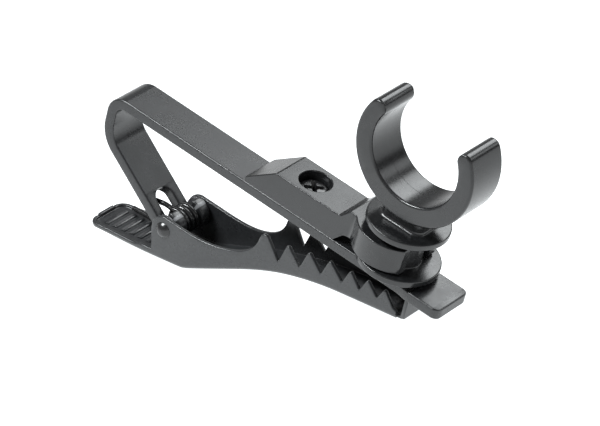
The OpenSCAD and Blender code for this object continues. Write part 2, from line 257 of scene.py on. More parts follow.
def carve(base, cuts):
    """The mesh of base after Boolean steps, pairs of operation and object. All the objects are removed."""
    for operation, other in cuts:
        cut = base.modifiers.new("cut", "BOOLEAN")
        cut.operation = operation
        cut.solver = "EXACT"
        cut.object = other
    mesh = evaluated_mesh(base)
    for used in [base] + [other for _, other in cuts]:
        bpy.data.objects.remove(used)
    return mesh


def bevelled(name, mesh, width, angle, segments):
    """A carved mesh with its flat regions merged and its edges rounded, moved into the frame of the CAD."""
    work = bmesh.new()
    work.from_mesh(mesh)
    bmesh.ops.remove_doubles(work, verts=work.verts, dist=0.002)
    bmesh.ops.dissolve_limit(work, angle_limit=math.radians(0.4), verts=work.verts, edges=work.edges)
    bmesh.ops.recalc_face_normals(work, faces=work.faces)
    work.to_mesh(mesh)
    work.free()
    raw = add_object(name, mesh)
    bevel = raw.modifiers.new("edges", "BEVEL")
    bevel.width = width
    bevel.segments = segments
    bevel.limit_method = "ANGLE"
    bevel.angle_limit = math.radians(angle)
    bevel.use_clamp_overlap = False
    final = evaluated_mesh(raw)
    bpy.data.objects.remove(raw)
    final.transform(CLIP)
    return final


def add_piece(name, mesh, body, look, node, sharp=32.0):
    """A piece that rides on a body and stands for a CAD node. Its look is a slot's name and a material."""
    slot, material = look
    mesh.shade_smooth()
    mesh.set_sharp_from_angle(angle=math.radians(sharp))
    mesh.materials.clear()
    mesh.materials.append(material)
    piece = add_object(name, mesh)
    piece.modifiers.new("normals", "WEIGHTED_NORMAL").keep_sharp = True
    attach(piece, body)
    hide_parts(node)


# ---- Materials ----

SCATTER = 0.02
# Pale grey that sharp edges are lightened towards: a painted highlight for the bright lines on rounded
# edges, and partly wear
RUBBED_AND_HIGHLIT = (0.27, 0.275, 0.285, 1)


def add_node(tree, kind, inputs, **settings):
    """A shader node whose inputs are set to values, or joined to other nodes' outputs."""
    node = tree.nodes.new(kind)
    for key, value in settings.items():
        setattr(node, key, value)
    for key, value in inputs.items():
        if isinstance(value, bpy.types.NodeSocket):
            tree.links.new(value, node.inputs[key])
        else:
            node.inputs[key].default_value = value
    return node


def ramp(tree, source, low, high, at_low, at_high, curve="LINEAR"):
    """A value from at_low to at_high as source goes from low to high."""
    inputs = {"Value": source, "From Min": low, "From Max": high, "To Min": at_low, "To Max": at_high}
    return add_node(tree, "ShaderNodeMapRange", inputs, interpolation_type=curve).outputs["Result"]


def combine(tree, operation, a, b):
    return add_node(tree, "ShaderNodeMath", {0: a, 1: b}, operation=operation).outputs[0]


def blend(tree, share, a, b):
    inputs = {"Factor": share, "A": a, "B": b}
    return add_node(tree, "ShaderNodeMix", inputs, data_type="RGBA").outputs["Result"]


def finish(slot, colour, rough, grain, depth, cloud, cloud_size, edge=0.0, metallic=0.0):
    """A slot's dark coated or moulded surface: fine grain, gloss in soft clouds, and edges lightened, partly
    as wear and partly as a painted highlight.

    grain and cloud_size are scales of noise, depth is the grain's height in metres, cloud is the change of
    roughness, and edge is the most that an edge is lightened by the painted highlight and wear."""
    material = bpy.data.materials.new(slot)
    material.use_nodes = True
    tree = material.node_tree
    tree.nodes.clear()
    spot = add_node(tree, "ShaderNodeTexCoord", {}).outputs["Object"]

    def noise(scale, detail):
        inputs = {"Vector": spot, "Scale": scale, "Detail": detail, "Roughness": 0.55}
        return add_node(tree, "ShaderNodeTexNoise", inputs).outputs["Fac"]

    fine = noise(grain, 3)
    clouds = noise(cloud_size, 4)
    specks = noise(grain * 0.31, 2)
    gloss = ramp(tree, clouds, 0.35, 0.65, rough - cloud, rough + cloud)
    scatter = ramp(tree, specks, 0.3, 0.7, -SCATTER, SCATTER)
    dark = (*[part * 0.8 for part in colour], 1)
    light = (*[part * 1.25 for part in colour], 1)
    base = blend(tree, ramp(tree, specks, 0.35, 0.65, 0, 1), dark, light)
    # Pointiness lightens the sharpest edges: a painted edge highlight, and partly wear
    if edge:
        pointiness = add_node(tree, "ShaderNodeNewGeometry", {}).outputs["Pointiness"]
        wear_and_highlight = ramp(tree, pointiness, 0.56, 0.64, 0, edge)
        patches = ramp(tree, clouds, 0.35, 0.6, 0.2, 1)
        base = blend(tree, combine(tree, "MULTIPLY", wear_and_highlight, patches), base, RUBBED_AND_HIGHLIT)
    bump = add_node(tree, "ShaderNodeBump", {"Strength": 1.0, "Distance": depth, "Height": fine})
    inputs = {"Base Color": base, "Roughness": combine(tree, "ADD", gloss, scatter), "Metallic": metallic}
    inputs["Normal"] = bump.outputs["Normal"]
    surface = add_node(tree, "ShaderNodeBsdfPrincipled", inputs)
    add_node(tree, "ShaderNodeOutputMaterial", {"Surface": surface.outputs[0]})
    return slot, material


# edge sets how far the painted edge highlight and wear lighten a slot's sharp edges
STEEL = finish("coated_steel", (0.0125, 0.0131, 0.0141), 0.29, 14000, 0.0000004, 0.025, 350, edge=0.8)
SHEET = finish("coated_sheet", (0.0185, 0.0194, 0.0206), 0.30, 14000, 0.0000004, 0.025, 420)
HARDWARE = finish("black_hardware", (0.008, 0.008, 0.0084), 0.25, 9000, 0.0000008, 0.03, 900, edge=0.3)
WIRE = finish("spring_wire", (0.009, 0.009, 0.0094), 0.20, 11000, 0.0000010, 0.03, 700)
WASHER = finish("washer_steel", (0.10, 0.10, 0.104), 0.28, 12000, 0.0000012, 0.04, 700, metallic=0.5)
PLASTIC = finish("moulded_plastic", (0.0088, 0.0092, 0.0098), 0.25, 7000, 0.00000025, 0.02, 260)

# ---- Clip arm: one strip swept round its bends ----

STRIP = 1.2
STRIP_EDGE = 0.18
HALF_ARM = 2.4
NOSE_X = 7.35
NOSE_CORNER = 0.8
NOSE_RUN = 6.4
BACK_X = -36.25
TIGHT_R = 2.2
WIDE_R = 4.0
LEG_SLOPE = 35.5
ROLL_R = 0.55 + STRIP
ROLL_TURN = 221.5
WINDOW_R = 1.2
WINDOW_LENGTH = 3.97


def strip_stations():
    """The strip's outer face from the nose on: distance, point and heading, and where the roll begins."""
    stations = [(0.0, (NOSE_X, 0.0), 180.0)]

    def go(length, step):
        count = max(1, math.ceil(length / step))
        for _ in range(count):
            far, point, heading = stations[-1]
            stations.append((far + length / count, onward(point, heading, length / count), heading))

    def bend(radius, angle, step=3.0):
        count = math.ceil(angle / step)
        far, point, heading = stations[-1]
        centre = onward(point, heading + 90, radius)
        for _ in range(count):
            heading += angle / count
            far += radius * math.radians(angle / count)
            stations.append((far, onward(centre, heading - 90, radius), heading))

    roll_from = onward(PIN, 270 - LEG_SLOPE, ROLL_R)
    corner = (BACK_X, roll_from[1] + (roll_from[0] - BACK_X) * math.tan(math.radians(LEG_SLOPE)))
    tangent = WIDE_R * math.tan(math.radians(90 - LEG_SLOPE) / 2)
    go(1.0, 0.1)
    go(NOSE_RUN - 1.0, 0.3)
    go(NOSE_X - BACK_X - TIGHT_R - NOSE_RUN, 3.0)
    bend(TIGHT_R, 90)
    go(-TIGHT_R - corner[1] - tangent, 0.8)
    bend(WIDE_R, 90 - LEG_SLOPE)
    go(math.dist(roll_from, corner) - tangent, 0.12)
    roll_start = stations[-1][0]
    bend(ROLL_R, ROLL_TURN, 4.0)
    return stations, roll_start


STATIONS, ROLL_START = strip_stations()
WINDOW_START = ROLL_START - WINDOW_LENGTH


def station_at(far):
    """Point and heading at a distance from the nose."""
    for (far0, point0, heading0), (far1, point1, heading1) in zip(STATIONS, STATIONS[1:]):
        if far0 <= far <= far1:
            share = (far - far0) / (far1 - far0)
            point = tuple(a + (b - a) * share for a, b in zip(point0, point1))
            return point, heading0 + (heading1 - heading0) * share
    return STATIONS[-1][1:]


def half_width(far):
    """Half the strip's width: the nose is slightly wider than the rest, and its corners are rounded."""
    width = HALF_ARM + 0.25 * smooth((NOSE_X - far - 1.7) / 2.0)
    if far < NOSE_CORNER:
        width -= NOSE_CORNER - math.sqrt(max(0.0, NOSE_CORNER**2 - (NOSE_CORNER - far) ** 2))
    return width


def strip_ring(point, heading, y0, y1, inset=0.0, edge=STRIP_EDGE, thick=STRIP):
    """One rounded section of a strip between y0 and y1, measured inwards from its outer face."""
    edge = max(0.004, edge - inset)
    y_mid, y_half = (y0 + y1) / 2, (y1 - y0) / 2 - inset - edge
    depth_half = thick / 2 - inset - edge
    ring = []
    for y_side, depth_side, first in ((1, -1, 270), (1, 1, 0), (-1, 1, 90), (-1, -1, 180)):
        for k in range(5):
            turn = first + 90 * k / 4
            depth = thick / 2 + depth_side * depth_half + edge * sind(turn)
            x, z = onward(point, heading + 90, depth)
            ring.append((x, y_mid + y_side * y_half + edge * cosd(turn), z))
    return ring


def end_steps(edge):
    """Steps over a rounded end: how far on, and how far in, each one is."""
    return [(edge * sind(a), edge * (1 - cosd(a))) for a in (0, 30, 60, 85)]


def arm_shell():
    """The strip up to the window, and one finger at each side of it that ends in a rolled knuckle."""
    arm = Shell()
    rings = []
    for on, inset in reversed(end_steps(STRIP_EDGE)):
        far = STRIP_EDGE - on
        width = half_width(far)
        rings.append(strip_ring(onward((NOSE_X, 0.0), 180, far), 180, -width, width, inset))
    for far, point, heading in STATIONS:
        if STRIP_EDGE < far < WINDOW_START:
            rings.append(strip_ring(point, heading, -half_width(far), half_width(far)))
    rings.append(strip_ring(*station_at(WINDOW_START), -HALF_ARM, HALF_ARM))
    arm.loft(rings)
    strip_end = STATIONS[-1][0] - STRIP_EDGE
    stops = [WINDOW_START + WINDOW_R * (1 - cosd(a)) for a in range(0, 91, 6)]
    stops += [far for far, _, _ in STATIONS if stops[-1] + 0.02 < far < strip_end]
    for side in (-1, 1):
        rings = []
        for far in stops:
            back = max(0.0, 1 - (far - WINDOW_START) / WINDOW_R)
            gap = WINDOW_R * math.sqrt(max(0.0, 1 - back * back))
            rings.append(strip_ring(*station_at(far), *sorted((side * gap, side * HALF_ARM))))
        for on, inset in end_steps(STRIP_EDGE):
            sides = sorted((side * WINDOW_R, side * HALF_ARM))
            rings.append(strip_ring(*station_at(strip_end + on), *sides, inset))
        arm.loft(rings)
    return arm


add_piece("arm_strip", mesh_of("arm_strip", arm_shell(), CLIP), "clip", STEEL, "clip_arm")

# ---- Lower jaw: folded sheet steel ----

SHEET_T = 0.45
FOLD_OUT, FOLD_IN, SHEET_EDGE = 0.5, 0.12, 0.15
TAB_END = -35.3
TAB_R = 1.3
TAB_START = -28.2
TAB_P, TAB_SLOPE = (-33.6, -16.44), 0.21
BELLY_P, BELLY_SLOPE = (-22.0, -13.82), 0.603
CHIN_P, CHIN_SLOPE = (0.27, -4.72), 0.2
CHIN_R = 38.0
HEEL_R = 2.0
RIM = 0.72
WALL_END = 2.6
LIP_X = 3.62
LIP_HALF = 2.28
LIP_TOP = -STRIP - 0.02
LIP_BEND = 0.62
PLAN = [(-40, 2.8), (-33.9, 2.8), (-27.8, 3.2), (-21.8, 3.2), (-12.4, 2.3), (LIP_X, LIP_HALF), (9, LIP_HALF)]
NOTCH = (1.13, 1.37)
TEETH, TOOTH_X, TOOTH_PITCH, TOOTH_H = 6, -11.4, 2.58, 3.96
RIBS, RIB_X, RIB_PITCH, RIB_H = 8, -33.5, 1.1, 0.18
FLOOR_N, BEND_N, WALL_N = 4, 5, 5
TAB_THICK = SHEET_T * math.hypot(1, TAB_SLOPE)


def meet(p, slope_p, q, slope_q):
    """Where two sloping lines cross."""
    x = (q[1] - p[1] + slope_p * p[0] - slope_q * q[0]) / (slope_p - slope_q)
    return (x, p[1] + slope_p * (x - p[0]))


def tab_z(x):
    return TAB_P[1] + TAB_SLOPE * (x - TAB_P[0])


def rim_z(x):
    return tab_z(x) + RIM


HEEL = meet(TAB_P, TAB_SLOPE, BELLY_P, BELLY_SLOPE)
CHIN = meet(BELLY_P, BELLY_SLOPE, CHIN_P, CHIN_SLOPE)
LIP_LOW = (LIP_X, CHIN_P[1] + CHIN_SLOPE * (LIP_X - CHIN_P[0]))
UNDERSIDE = (
    [(TAB_END - 1, tab_z(TAB_END - 1))]
    + fillet((TAB_END, tab_z(TAB_END)), HEEL, CHIN, HEEL_R, 3.0)
    + fillet(HEEL, CHIN, LIP_LOW, CHIN_R, 0.8)
    + [LIP_LOW]
)


def under_z(x):
    return between(UNDERSIDE, x)


def jaw_half(x, reach=1.6, count=9):
    """Half the jaw's width: the plan with its corners averaged away."""
    return sum(between(PLAN, x + reach * (2 * i / (count - 1) - 1)) for i in range(count)) / count


def jaw_crest():
    """The top edge of a side wall, from the tab's rim over the hinge ear and the teeth to the front."""
    crest = [(TAB_START, rim_z(TAB_START)), (-26.5, rim_z(-26.5), 0.35), (-27.2, PIN[1] - 0.4, 0.5)]
    crest += arc(PIN, 1.56, 170, 95, 8.0)
    crest += bezier((-22.6, -9.42), (-18, -9.3), (-14.75, -7.7), (-14.65, -4.95), 26)
    crest += [(-14.4, -4.42, 0.3), (-13.9, -4.35, 0.3)]
    for i in range(TEETH):
        x = TOOTH_X + TOOTH_PITCH * i - 0.42 * max(0, i - 3)
        crest += [(x - 0.6, under_z(x - 0.6) + 1.5, 0.1), (x, under_z(x) + TOOTH_H - 0.2 * i, 0.22)]
    crest += [(WALL_END, under_z(WALL_END) + SHEET_T + 0.05)]
    return rounded(crest, 14.0)


def wall_stations(spacing=0.9):
    """Along a side wall from the front: a point of the top edge, and the X of the floor below it."""
    crest = jaw_crest()[::-1]
    tops = []
    for a, b in zip(crest, crest[1:]):
        count = max(1, math.ceil(math.dist(a, b) / spacing))
        tops += [(a[0] + (b[0] - a[0]) * k / count, a[1] + (b[1] - a[1]) * k / count) for k in range(count)]
    tops.append(crest[-1])
    # the crest doubles back at the ear, so there the floor's stations are spread over its length instead
    first = next(i for i, top in enumerate(tops) if top[0] < -24.9)
    last = next(i for i in range(first, len(tops)) if tops[i][1] < rim_z(tops[i][0]) + 0.12)
    run = [0.0]
    for a, b in zip(tops[first:last], tops[first + 1 : last + 1]):
        run.append(run[-1] + math.dist(a, b))
    x_first, x_last = tops[first][0], tops[last][0]
    stations = []
    for i, top in enumerate(tops):
        spread = first <= i <= last
        x = x_first + (x_last - x_first) * run[i - first] / run[-1] if spread else top[0]
        stations.append((top, x))
    return stations


def sheet_line(floor, bend, wall, thick, reach):
    """Half a section of the folded sheet: along its floor, up inside the wall, over, down and back.

    floor gives a point by its share of the way out, the bend's depth and the height; bend by depth and
    height; wall by share of the wall's height and depth. Depth runs inwards from the wall's outer face."""
    top = 1 - SHEET_EDGE / reach
    turns = [90 * k / (BEND_N - 1) for k in range(BEND_N)]
    line = [floor(k / (FLOOR_N - 1), SHEET_T + FOLD_IN, thick) for k in range(FLOOR_N)]
    for turn in turns[1:]:
        line.append(bend(SHEET_T + FOLD_IN - FOLD_IN * sind(turn), thick + FOLD_IN * (1 - cosd(turn))))
    line += [wall(top * k / (WALL_N - 1), SHEET_T) for k in range(1, WALL_N)]
    for turn in (30, 60, 90):
        line.append(wall(top + (1 - top) * sind(turn), SHEET_T - SHEET_EDGE * (1 - cosd(turn))))
    for turn in (90, 60, 30, 0):
        line.append(wall(top + (1 - top) * sind(turn), SHEET_EDGE * (1 - cosd(turn))))
    line += [wall(top * k / (WALL_N - 1), 0.0) for k in range(WALL_N - 2, 0, -1)]
    line += [bend(FOLD_OUT * (1 - cosd(turn)), FOLD_OUT - FOLD_OUT * sind(turn)) for turn in turns]
    line += [floor(k / (FLOOR_N - 1), FOLD_OUT, 0.0) for k in range(FLOOR_N - 2, -1, -1)]
    return line


def side_line(top, x):
    """The section whose wall rises from the floor at x to a point of the crest."""
    z = under_z(x)
    slope = (under_z(x + 0.05) - under_z(x - 0.05)) / 0.1
    thick = SHEET_T * math.hypot(1, slope)
    low = z + thick + FOLD_IN
    reach = max(SHEET_EDGE * 2.2, top[1] - low)

    def floor(share, depth, height):
        return (x, (jaw_half(x) - depth) * share, z + height)

    def bend(depth, height):
        return (x, jaw_half(x) - depth, z + height)

    def wall(share, depth):
        wall_x = x + (top[0] - x) * share
        return (wall_x, jaw_half(wall_x) - depth, low + reach * share)

    return sheet_line(floor, bend, wall, thick, reach)


def tab_line(spot, outwards, rise, spine_x):
    """The section of the thumb tab at a spot of its outer face in plan, from the tab's spine at spine_x."""
    low = TAB_THICK + FOLD_IN
    reach = RIM + rise - low

    def bend(depth, height):
        x, y = spot[0] - outwards[0] * depth, spot[1] - outwards[1] * depth
        return (x, y, tab_z(x) + height)

    def floor(share, depth, height):
        x, y, _ = bend(depth, height)
        x = x + (spine_x - x) * (1 - share)
        return (x, y * share, tab_z(x) + height)

    def wall(share, depth):
        return bend(depth, low + reach * share)

    return sheet_line(floor, bend, wall, TAB_THICK, reach)


def tab_path():
    """The tab's outer face in plan, round to the middle of its back: spot and outward direction."""
    path = []
    x = TAB_START - 0.5
    while x > TAB_END + TAB_R + 0.2:
        path.append(((x, jaw_half(x)), (0.0, 1.0)))
        x -= 0.6
    corner = (TAB_END + TAB_R, jaw_half(TAB_END + TAB_R) - TAB_R)
    for turn in range(90, 181, 9):
        path.append((onward(corner, turn, TAB_R), (cosd(turn), sind(turn))))
    y = corner[1] - 0.1
    while y > 0.001:
        path.append(((TAB_END, y), (-1.0, 0.0)))
        y -= 0.06
    return path


def rim_rise(y):
    """How far the back rim stands above the side rims: a raised middle, and a notch beside it."""
    y = abs(y)
    if NOTCH[0] < y < NOTCH[1]:
        return -0.26 * smooth(min(y - NOTCH[0], NOTCH[1] - y) / 0.05)
    return 0.2 * smooth((NOTCH[0] - y) / 0.06)


def lip_rings():
    """The front lip: the jaw's floor runs on a little narrower, folds up and widens again."""
    path = [(WALL_END + d, under_z(WALL_END + d)) for d in (-1.2, 0.0, 0.15, 0.3)]
    path += fillet((WALL_END - 1, under_z(WALL_END - 1)), LIP_LOW, (LIP_X, 0), LIP_BEND, 8.0)
    path += [(LIP_X, LIP_TOP - STRIP_EDGE)]
    last = len(path) - 1
    rings = []
    for i, point in enumerate(path):
        a, b = path[max(0, i - 1)], path[min(last, i + 1)]
        heading = math.degrees(math.atan2(b[1] - a[1], b[0] - a[0]))
        if i == 0:
            heading = math.degrees(math.atan(CHIN_SLOPE))
        half = LIP_HALF - 0.42 * smooth(1 - (point[1] - under_z(min(point[0], 3.0))) / 0.7)
        edge = 0.12 + 0.1 * (LIP_HALF - half)
        rings.append(strip_ring(point, heading, -half, half, 0.0, edge, SHEET_T))
    for on, inset in end_steps(0.09)[1:]:
        point = (LIP_X, LIP_TOP - 0.09 + on)
        rings.append(strip_ring(point, 90, -LIP_HALF, LIP_HALF, inset, 0.12, SHEET_T))
    return rings


def add_thumb_ribs(shell):
    """Sawtooth ribs across the tab's floor. The profile runs along the tab and up from it."""
    profile = [(-0.72, -0.06), (0.26, -0.06), (0.2, 0.06), (0.11, 0.155), (0.0, RIB_H), (-0.12, 0.155)]
    lean = math.atan(TAB_SLOPE)
    c, s = math.cos(lean), math.sin(lean)
    for i in range(RIBS):
        x = RIB_X + RIB_PITCH * i
        z = tab_z(x) + TAB_THICK
        shell.plate([(x + u * c - v * s, z + u * s + v * c) for u, v in profile], -1.75, 1.6, 0.03)


def jaw_shell():
    jaw = Shell()
    lines = [side_line(top, x) for top, x in wall_stations()]
    for spot, outwards in tab_path():
        rise = rim_rise(spot[1]) if abs(spot[0] - TAB_END) < 0.01 else 0.0
        lines.append(tab_line(spot, outwards, rise, max(TAB_END + 1.9, spot[0])))
    lines += [[(x, -y, z) for x, y, z in line] for line in reversed(lines)]
    ids = jaw.loft(lines, closed=False)
    jaw.faces.append(tuple(ids[0]) + tuple(reversed(ids[-1])))
    jaw.loft(lip_rings())
    add_thumb_ribs(jaw)
    return jaw


add_piece("jaw_sheet", mesh_of("jaw_sheet", jaw_shell(), CLIP), "jaw", SHEET, "lower_jaw", sharp=50.0)

# ---- Hinge hardware ----

EAR_Y = 3.2
RIVET_R, SHANK_R, RIVET_RISE = 0.9, 0.52, 0.52
WASHER_R, WASHER_BORE, WASHER_HALF, WASHER_EDGE = 1.45, 0.55, 0.15, 0.06


def rivet_shell():
    """Two domed heads, which sink a little into the jaw's ears, on a shank."""
    dome_r = (RIVET_R**2 + RIVET_RISE**2) / (2 * RIVET_RISE)
    opening = math.asin(RIVET_R / dome_r)
    head = [(RIVET_R, EAR_Y + 0.03)]
    for k in range(1, 13):
        turn = opening * (1 - k / 12)
        across = EAR_Y + RIVET_RISE - dome_r + dome_r * math.cos(turn)
        head.append((max(0.02, dome_r * math.sin(turn)), across))
    seat = [(SHANK_R, EAR_Y - 0.01), (RIVET_R - 0.05, EAR_Y - 0.01), (RIVET_R, EAR_Y + 0.02)]
    half = seat + head
    rivet = Shell()
    rivet.loft(turned_y([(radius, -across) for radius, across in reversed(half)] + half, 64))
    return rivet


def washer_shell(side):
    """A flat ring with rounded edges, midway between the knuckle and the ear."""
    middle = side * (HALF_ARM + EAR_Y - SHEET_T) / 2
    outer, inner = WASHER_R - WASHER_EDGE, WASHER_BORE + WASHER_EDGE
    reach = WASHER_HALF - WASHER_EDGE
    corners = ((outer, reach, 90), (outer, -reach, 0), (inner, -reach, -90), (inner, reach, -180))
    profile = []
    for radius, across, first in corners:
        profile += arc((radius, middle + across), WASHER_EDGE, first, first - 90, 30.0)
    washer = Shell()
    washer.hoop(turned_y(profile, 72))
    return washer


add_piece("rivet", mesh_of("rivet", rivet_shell(), CLIP), "jaw", HARDWARE, "hinge_rivet")
for side, node in ((-1, "near_washer"), (1, "far_washer")):
    name = node + "_ring"
    add_piece(name, mesh_of(name, washer_shell(side), CLIP), "jaw", WASHER, node)

# ---- Torsion spring: its coil and first tail go with the jaw, its second tail with the arm ----

WIRE_R = 0.28
COIL_R = 1.3
TURNS = 2.5
PITCH = 0.7
ARM_DIR = 180 + 49 - LEG_SLOPE
TAB_DIR = 208.0
ARM_TURN = ARM_DIR - 90
TAB_TURN = TAB_DIR + 90
SWEEP = 360 * math.floor(TURNS) + (720 + ARM_TURN - TAB_TURN) % 360
COIL_Y = -TURNS * PITCH / 2


def wire_path(start, direction, stops):
    """Points at distances along a direction, each with its own place across."""
    return [lifted(onward(start, direction, far), y) for far, y in stops]


def lifted(point, y):
    return (point[0], y, point[1])


def softened(path):
    """A wire's path with its corners cut twice."""
    for _ in range(2):
        out = [path[0]]
        for a, b in zip(path, path[1:]):
            a, b = Vector(a), Vector(b)
            out += [tuple(a * 0.75 + b * 0.25), tuple(a * 0.25 + b * 0.75)]
        path = out + [path[-1]]
    return path


def spring_coil():
    """The coil, then a tail that lies on the ribs of the thumb tab."""
    path = []
    for i in range(151):
        path.append(lifted(onward(PIN, ARM_TURN - SWEEP * i / 150, COIL_R), COIL_Y - 2 * COIL_Y * i / 150))
    start = onward(PIN, TAB_TURN, COIL_R)
    rest_x = -30.2
    rest = (rest_x, tab_z(rest_x) + TAB_THICK + (RIB_H + WIRE_R + 0.02) * math.hypot(1, TAB_SLOPE))
    tail = wire_path(start, TAB_DIR, [(0.0, -COIL_Y), (1.1, -COIL_Y), (3.5, -COIL_Y + 0.03)])
    tail += wire_path(start, TAB_DIR, [(math.dist(rest, start) * 0.86, 1.4)])
    down_tab = 180 + math.degrees(math.atan(TAB_SLOPE))
    tail += wire_path(rest, down_tab, [(0.0, 1.66), (1.5, 1.87), (3.0, 2.05)])
    coil = Shell()
    coil.wire(path + softened(tail)[1:], WIRE_R)
    return coil


def spring_leg():
    """A short wrap along the coil's end, then a tail through the arm's window, hooked behind the leg."""
    path = [lifted(onward(PIN, ARM_TURN - 62 + 62 * i / 16, COIL_R), COIL_Y) for i in range(17)]
    stops = [(0.0, COIL_Y), (0.6, COIL_Y), (1.8, -0.5), (2.6, -0.5), (3.4, -0.5), (3.8, -0.58), (3.9, -0.9)]
    stops += [(3.9, -1.7)]
    leg = Shell()
    leg.wire(path + softened(wire_path(onward(PIN, ARM_TURN, COIL_R), ARM_DIR, stops))[1:], WIRE_R - 0.004)
    return leg


add_piece("spring_coil", mesh_of("spring_coil", spring_coil(), CLIP), "jaw", WIRE, "torsion_spring")
add_piece("spring_leg", mesh_of("spring_leg", spring_leg(), CLIP), "clip", WIRE, "torsion_spring")

# ---- Swivel bracket: a plan and a side view made solid, crossed and carved ----

BLOCK_HALF, BLOCK_TOP, BLOCK_BACK = 2.4, 3.2, -18.16
ROOT_R = 1.0
COLLAR_X, COLLAR_R, COLLAR_LOW, COLLAR_TOP = -0.96, 4.28, 1.44, 4.4
COLLAR_BORE = 2.31
MOUTH_X, MOUTH_HALF = 2.12, 1.92
DISC_CLEAR = 4.62
SCREW_X = -11.45
SINK_R, SINK_FLOOR, SCREW_HOLE = 1.72, 1.14, 1.1


def bracket_plan():
    reach = math.sqrt((COLLAR_R + ROOT_R) ** 2 - (BLOCK_HALF + ROOT_R) ** 2)
    root = (COLLAR_X - reach, BLOCK_HALF + ROOT_R)
    lean = math.degrees(math.atan2(root[1], reach))
    mouth = math.degrees(math.acos((MOUTH_X - COLLAR_X) / COLLAR_R))
    half = [(BLOCK_BACK, BLOCK_HALF)] + arc(root, ROOT_R, 270, 360 - lean, 5.0)
    half += arc((COLLAR_X, 0), COLLAR_R, 180 - lean - 2.5, mouth, 2.5)
    return half + [(x, -y) for x, y in reversed(half)]


def bracket_side():
    top = [(-14.7, BLOCK_TOP), (-6.35, BLOCK_TOP, 0.5), (-5.3, COLLAR_TOP, 0.12), (MOUTH_X + 1, COLLAR_TOP)]
    foot = [(MOUTH_X + 1, COLLAR_LOW), (-4.37, COLLAR_LOW), (-5.45, 1.25, 0.8), (-6.5, 0.0)]
    return rounded([(BLOCK_BACK, 0.0), (BLOCK_BACK, 0.6)] + top + foot, 9.0)


def bracket_mesh():
    side = Shell()
    side.loft([[(x, y, z) for x, z in bracket_side()] for y in (-6.0, 6.0)])
    mouth = [(0, -MOUTH_HALF), (9, -MOUTH_HALF), (9, MOUTH_HALF), (0, MOUTH_HALF)]
    mesh = carve(
        prism(bracket_plan(), -1.0, 6.0),
        [
            ("INTERSECT", solid(side)),
            ("DIFFERENCE", prism(circle(0, 0, COLLAR_BORE, 96), -2, 8)),
            ("DIFFERENCE", prism(mouth, -2, 8)),
            ("DIFFERENCE", prism(circle(0, 0, DISC_CLEAR, 128), -2, COLLAR_LOW)),
            ("DIFFERENCE", prism(circle(SCREW_X, 0, SINK_R, 64), SINK_FLOOR, 6)),
            ("DIFFERENCE", prism(circle(SCREW_X, 0, SCREW_HOLE, 48), -1, 6)),
        ],
    )
    return bevelled("bracket_block", mesh, 0.13, 20.0, 3)


add_piece("bracket_block", bracket_mesh(), "clip", PLASTIC, "swivel_bracket", sharp=40.0)

# ---- Fixing screw: a domed head with a tapered cross ----

SCREW_R, HEAD_R, HEAD_LOW, HEAD_EDGE, HEAD_TOP = 0.98, 1.62, 1.14, 1.95, 2.42
CROWN_IN, CROWN_UP = 0.62, 0.44
CROSS_TURN = 46


def cross_cutter(turn):
    place = Matrix.Translation((SCREW_X, 0, 0)) @ Matrix.Rotation(math.radians(turn), 4, "Z")
    signs = ((-1, -1), (1, -1), (1, 1), (-1, 1))
    rings = []
    for x, y, z in ((0.7, 0.14, 1.5), (1.18, 0.26, 2.6)):
        rings.append([tuple(place @ Vector((sx * x, sy * y, z))) for sx, sy in signs])
    cutter = Shell()
    cutter.loft(rings)
    return ("DIFFERENCE", solid(cutter))


def screw_mesh():
    profile = [(0.02, -1.15), (0.8, -1.15), (SCREW_R, -0.98), (SCREW_R, HEAD_LOW)]
    profile += [(HEAD_R - 0.07, HEAD_LOW), (HEAD_R, HEAD_LOW + 0.06), (HEAD_R, HEAD_EDGE)]
    for a in range(15, 91, 15):
        profile.append((HEAD_R - CROWN_IN * (1 - cosd(a)), HEAD_EDGE + CROWN_UP * sind(a)))
    profile += [(0.5, HEAD_TOP - 0.005), (0.02, HEAD_TOP)]
    screw = Shell()
    screw.loft(turned_z(profile, SCREW_X, 0, 72))
    mesh = carve(solid(screw), [cross_cutter(turn) for turn in (CROSS_TURN, CROSS_TURN + 90)])
    return bevelled("screw", mesh, 0.035, 30.0, 2)


add_piece("screw", screw_mesh(), "clip", HARDWARE, "fixing_screw", sharp=30.0)

# ---- Microphone holder: an open ring on a square foot, and the spool that turns in the collar ----

BORE_R, BORE_Z = 5.2, 14.5
RING_R, RING_Z, RING_HALF, RING_EDGE = 7.15, 14.22, 2.52, 0.3
TIP_ANGLE = 27.8
FLANGE_R, NECK_R = 4.37, 2.28
FLANGE_TOP = 5.9
FOOT, FOOT_Y, FOOT_R, FOOT_END = 2.5, 1.95, 0.9, 8.6
FLARE_H, FLARE = 0.45, 0.4


def outer_at(angle):
    """Distance from the bore's centre to the ring's outer face, which is a circle set a little lower."""
    drop = RING_Z - BORE_Z
    s = sind(angle)
    return drop * s + math.sqrt(RING_R**2 - drop * drop * (1 - s * s))


def ring_section(angle, scale):
    """A rounded section of the ring, scaled down towards the tips, with a faint ridge on its bore side."""
    middle = (BORE_R + outer_at(angle)) / 2
    reach = (outer_at(angle) - BORE_R) / 2 * scale
    half = RING_HALF - (1 - scale) * 0.12
    edge = min(RING_EDGE, reach * 0.98)
    spots = []
    for y_side, r_side, first in ((1, 1, 0), (-1, 1, 90), (-1, -1, 180), (1, -1, 270)):
        for k in range(6):
            turn = first + 90 * k / 5
            y, r = y_side * (half - edge), r_side * (reach - edge)
            spots.append((y + edge * cosd(turn), r + edge * sind(turn)))
        if first == 180:
            ridge = -0.012 if scale == 1.0 else 0.0
            line = ((-0.07, 0.0), (-0.03, ridge), (0.03, ridge), (0.07, 0.0))
            spots += [(y, rise - reach) for y, rise in line]
    return [(cosd(angle) * (middle + r), y, BORE_Z + sind(angle) * (middle + r)) for y, r in spots]


